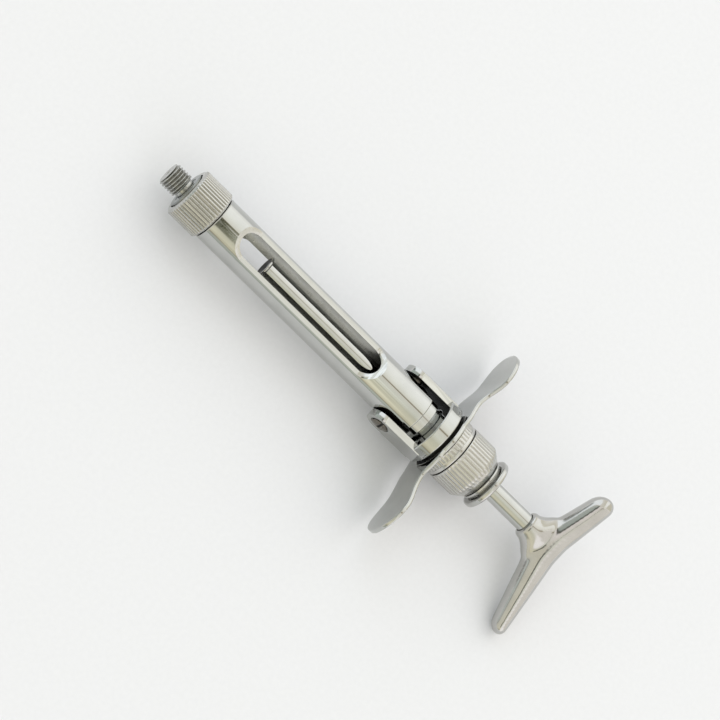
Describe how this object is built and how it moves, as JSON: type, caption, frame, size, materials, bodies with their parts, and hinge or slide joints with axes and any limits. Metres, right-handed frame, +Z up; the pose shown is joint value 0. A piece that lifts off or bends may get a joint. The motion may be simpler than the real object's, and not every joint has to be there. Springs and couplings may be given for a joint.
{
  "type": "aspirating dental syringe",
  "caption": "Breech-loading dental cartridge syringe: threaded needle stud, windowed barrel on a fork, finger wings, spring guide and palm-handled plunger.",
  "frame": {"origin": "under the middle of the object's box, on the surface it lies on", "axes": "+X along the syringe towards the needle stud, +Z up out of the upper viewing window, +Y towards the handle's long arm"},
  "size_m": [0.1278, 0.053, 0.0167],
  "materials": {
    "polished_chrome": "polished",
    "knurled_chrome": "knurled and polished",
    "spring_steel": "bright",
    "seal_rubber": "matt"
  },
  "bodies": {
    "frame": {"barrel": "polished_chrome", "fork": "polished_chrome", "pivot_screw_left": "spring_steel", "pivot_screw_right": "spring_steel", "finger_grip": "polished_chrome", "grip_lock_ring": "polished_chrome", "rear_cap": "knurled_chrome", "return_spring": "spring_steel"},
    "adaptor": {"needle_adaptor": "polished_chrome"},
    "collar": {"front_collar": "knurled_chrome"},
    "guide": {"guide_sleeve": "polished_chrome", "release_spool": "polished_chrome"},
    "seal": {"rod_seal": "seal_rubber"},
    "plunger": {"plunger_rod": "polished_chrome", "plunger_tip": "polished_chrome", "handle": "polished_chrome"}
  },
  "joints": [
    {"name": "adaptor_slide", "type": "slide", "parent": "frame", "child": "adaptor", "axis": [1, 0, 0], "range_m": [0, 0.0045]},
    {"name": "collar_spin", "type": "hinge", "parent": "adaptor", "child": "collar", "pos_m": [0.0543, 0, 0.00851], "axis": [1, 0, 0], "range_deg": [0, 2170]},
    {"name": "release_slide", "type": "slide", "parent": "frame", "child": "guide", "axis": [-1, 0, 0], "range_m": [0, 0.0035], "stiffness_N_per_m": 1200, "springref_m": -0.004, "deforming": ["return_spring"]},
    {"name": "plunger_spin", "type": "hinge", "parent": "guide", "child": "seal", "pos_m": [-0.0188, 0, 0.00851], "axis": [1, 0, 0], "continuous": true},
    {"name": "plunger_slide", "type": "slide", "parent": "seal", "child": "plunger", "axis": [-1, 0, 0], "range_m": [-0.011, 0.0465]}
  ],
  "couplings": [
    {"joint": "collar_spin", "follows": "adaptor_slide", "rad_per_m": 8377.6}
  ]
}
